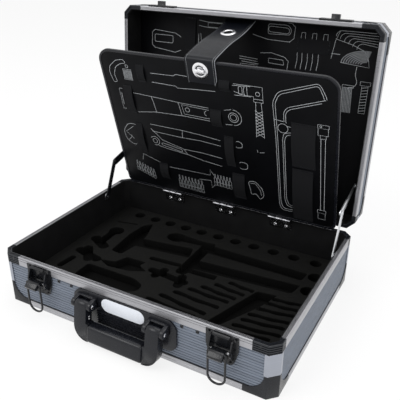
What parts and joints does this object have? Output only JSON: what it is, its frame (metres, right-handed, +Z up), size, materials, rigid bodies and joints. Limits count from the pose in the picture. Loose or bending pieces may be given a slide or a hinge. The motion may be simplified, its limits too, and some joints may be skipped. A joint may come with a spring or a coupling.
{
  "type": "hard tool case",
  "caption": "Hinged hard tool case with aluminium edges, folding lid stays, draw latches, a drop handle, a hinged tool board on a strap and a foam insert with recesses",
  "frame": {"origin": "centre of the underside of the base", "axes": "X along the case, Y from the handle side to the hinge side, Z up; the case stands open on its base"},
  "size_m": [0.46, 0.4321, 0.4227],
  "materials": {
    "panel": "ribbed laminated board",
    "alloy": "satin extruded profile",
    "black_plastic": "satin moulding",
    "lining": "thin black lining",
    "foam": "closed-cell foam",
    "printed_panel": null,
    "elastic": "woven elastic tape",
    "strap_skin": "smooth imitation leather",
    "chrome": "bright plating",
    "dark_metal": "black coated steel",
    "zinc": "zinc plated",
    "label": "bare silver white label"
  },
  "bodies": {
    "base": {"base_bottom_panel": "panel", "base_front_panel": "panel", "base_back_panel": "panel", "base_left_panel": "panel", "base_right_panel": "panel", "base_lining": "lining", "base_rim_profiles": "alloy", "base_rim_corners": "black_plastic", "base_corner_profiles": "alloy", "base_edge_profiles": "alloy", "base_corner_caps": "black_plastic", "foam_tray": "foam", "foam_backing": "foam", "front_rivets": "dark_metal", "latch_plates": "dark_metal", "latch_pins": "dark_metal", "handle_back_plate": "black_plastic", "label_plate": "label", "handle_brackets": "black_plastic", "handle_pins": "chrome", "case_hinge_base_leaves": "zinc", "board_hinge_base_leaves": "chrome", "hinge_pins": "zinc", "stay_base_brackets": "zinc"},
    "lid": {"lid_top_panel": "panel", "lid_back_panel": "panel", "lid_front_panel": "panel", "lid_left_panel": "panel", "lid_right_panel": "panel", "lid_lining": "lining", "lid_rim_profiles": "alloy", "lid_rim_corners": "black_plastic", "lid_corner_profiles": "alloy", "lid_edge_profiles": "alloy", "lid_corner_caps": "black_plastic", "lid_tool_panel": "printed_panel", "lid_loops": "elastic", "latch_strikers": "dark_metal", "case_hinge_lid_leaves": "zinc", "stay_lid_brackets": "zinc", "strap_anchor": "dark_metal"},
    "tool_board": {"board_panel": "printed_panel", "board_edge_binding": "black_plastic", "board_loops": "elastic", "board_hinge_leaves": "chrome", "strap": "strap_skin", "strap_eyelet": "chrome", "turn_stud_base": "chrome"},
    "turn_stud": {"turn_stud": "chrome"},
    "handle": {"handle_arms": "black_plastic", "handle_grip": "black_plastic", "handle_screws": "zinc"},
    "stay_lower_left": {"stay_lower_arm_left": "zinc"},
    "stay_upper_left": {"stay_upper_arm_left": "zinc"},
    "latch_lever_left": {"latch_lever_left": "dark_metal"},
    "latch_bail_left": {"latch_bail_left": "dark_metal"},
    "stay_lower_right": {"stay_lower_arm_right": "zinc"},
    "stay_upper_right": {"stay_upper_arm_right": "zinc"},
    "latch_lever_right": {"latch_lever_right": "dark_metal"},
    "latch_bail_right": {"latch_bail_right": "dark_metal"}
  },
  "joints": [
    {"name": "lid_hinge", "type": "hinge", "parent": "base", "child": "lid", "pos_m": [0, 0.1652, 0.0866], "axis": [1, 0, 0], "range_deg": [0, 94.3]},
    {"name": "board_hinge", "type": "hinge", "parent": "base", "child": "tool_board", "pos_m": [0, 0.1431, 0.0895], "axis": [1, 0, 0], "range_deg": [0, 74.9], "deforming": ["strap", "strap_eyelet"]},
    {"name": "handle_hinge", "type": "hinge", "parent": "base", "child": "handle", "pos_m": [0, -0.176, 0.057], "axis": [-1, 0, 0], "range_deg": [0, 85]},
    {"name": "stud_turn", "type": "hinge", "parent": "tool_board", "child": "turn_stud", "pos_m": [-0.01, 0.07249, 0.34312], "axis": [0, -0.965, -0.2622], "range_deg": [0, 90]},
    {"name": "stay_lower_pivot_left", "type": "hinge", "parent": "base", "child": "stay_lower_left", "pos_m": [-0.2187, 0.09, 0.077], "axis": [1, 0, 0], "range_deg": [0, 107.3]},
    {"name": "stay_upper_pivot_left", "type": "hinge", "parent": "lid", "child": "stay_upper_left", "pos_m": [-0.2165, 0.19, 0.157], "axis": [1, 0, 0], "range_deg": [-91.77, 0]},
    {"name": "latch_lever_pivot_left", "type": "hinge", "parent": "base", "child": "latch_lever_left", "pos_m": [-0.154, -0.168, 0.058], "axis": [1, 0, 0], "range_deg": [0, 85]},
    {"name": "latch_bail_pivot_left", "type": "hinge", "parent": "latch_lever_left", "child": "latch_bail_left", "pos_m": [-0.154, -0.17733, 0.0614], "axis": [1, 0, 0], "range_deg": [-270.5, 0]},
    {"name": "stay_lower_pivot_right", "type": "hinge", "parent": "base", "child": "stay_lower_right", "pos_m": [0.2187, 0.09, 0.077], "axis": [1, 0, 0], "range_deg": [0, 107.3]},
    {"name": "stay_upper_pivot_right", "type": "hinge", "parent": "lid", "child": "stay_upper_right", "pos_m": [0.2165, 0.19, 0.157], "axis": [1, 0, 0], "range_deg": [-91.77, 0]},
    {"name": "latch_lever_pivot_right", "type": "hinge", "parent": "base", "child": "latch_lever_right", "pos_m": [0.154, -0.168, 0.058], "axis": [1, 0, 0], "range_deg": [0, 85]},
    {"name": "latch_bail_pivot_right", "type": "hinge", "parent": "latch_lever_right", "child": "latch_bail_right", "pos_m": [0.154, -0.17733, 0.0614], "axis": [1, 0, 0], "range_deg": [-270.5, 0]}
  ],
  "couplings": [
    {"joint": "board_hinge", "follows": "lid_hinge", "ratio": 0.79321},
    {"joint": "stay_lower_pivot_left", "follows": "lid_hinge", "ratio": 1.1367},
    {"joint": "stay_upper_pivot_left", "follows": "lid_hinge", "ratio": -0.97216},
    {"joint": "latch_bail_pivot_left", "follows": "latch_lever_pivot_left", "ratio": -3.181},
    {"joint": "stay_lower_pivot_right", "follows": "lid_hinge", "ratio": 1.1367},
    {"joint": "stay_upper_pivot_right", "follows": "lid_hinge", "ratio": -0.97216},
    {"joint": "latch_bail_pivot_right", "follows": "latch_lever_pivot_right", "ratio": -3.181}
  ]
}
